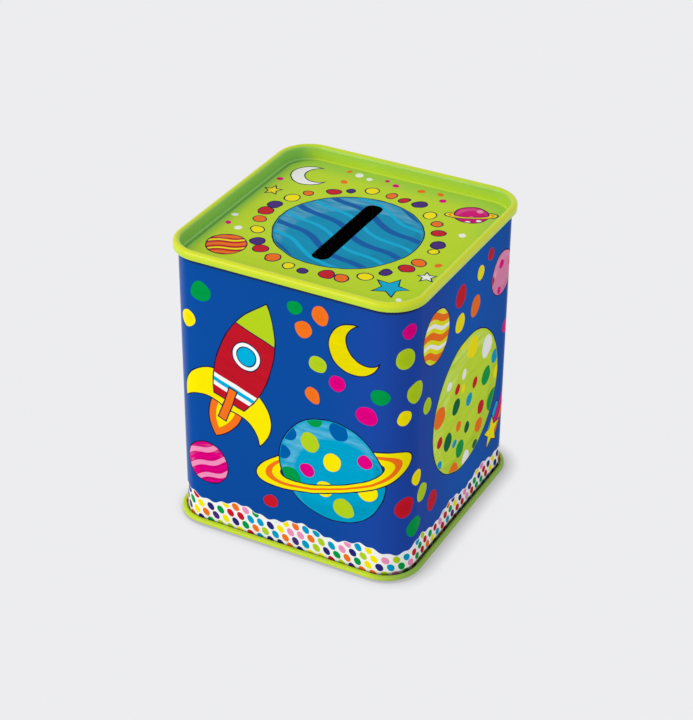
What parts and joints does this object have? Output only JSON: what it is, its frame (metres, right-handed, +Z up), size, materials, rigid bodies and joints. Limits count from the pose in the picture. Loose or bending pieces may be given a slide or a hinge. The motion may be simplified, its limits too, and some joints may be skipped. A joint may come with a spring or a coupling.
{
  "type": "tin money box",
  "caption": "Square tinplate money box with rounded corners, a rolled base seam and a lift-off recessed lid with a coin slot.",
  "frame": {"origin": "centre of the underside, on the surface that the box stands on", "axes": "+Z up, -Y out of the front face, +X out of the right-hand face; the side seam is on the +Y face"},
  "size_m": [0.0754, 0.0754, 0.088],
  "materials": {
    "printed_wall": "gloss",
    "base_lacquer": "gloss",
    "lid_lacquer": "gloss"
  },
  "bodies": {
    "box": {"body_wall": "printed_wall", "base_panel": "base_lacquer"},
    "lid": {"lid": "lid_lacquer"}
  },
  "joints": [
    {"name": "lid_lift", "type": "slide", "parent": "box", "child": "lid", "axis": [0, 0, 1], "range_m": [0, 0.06]}
  ]
}
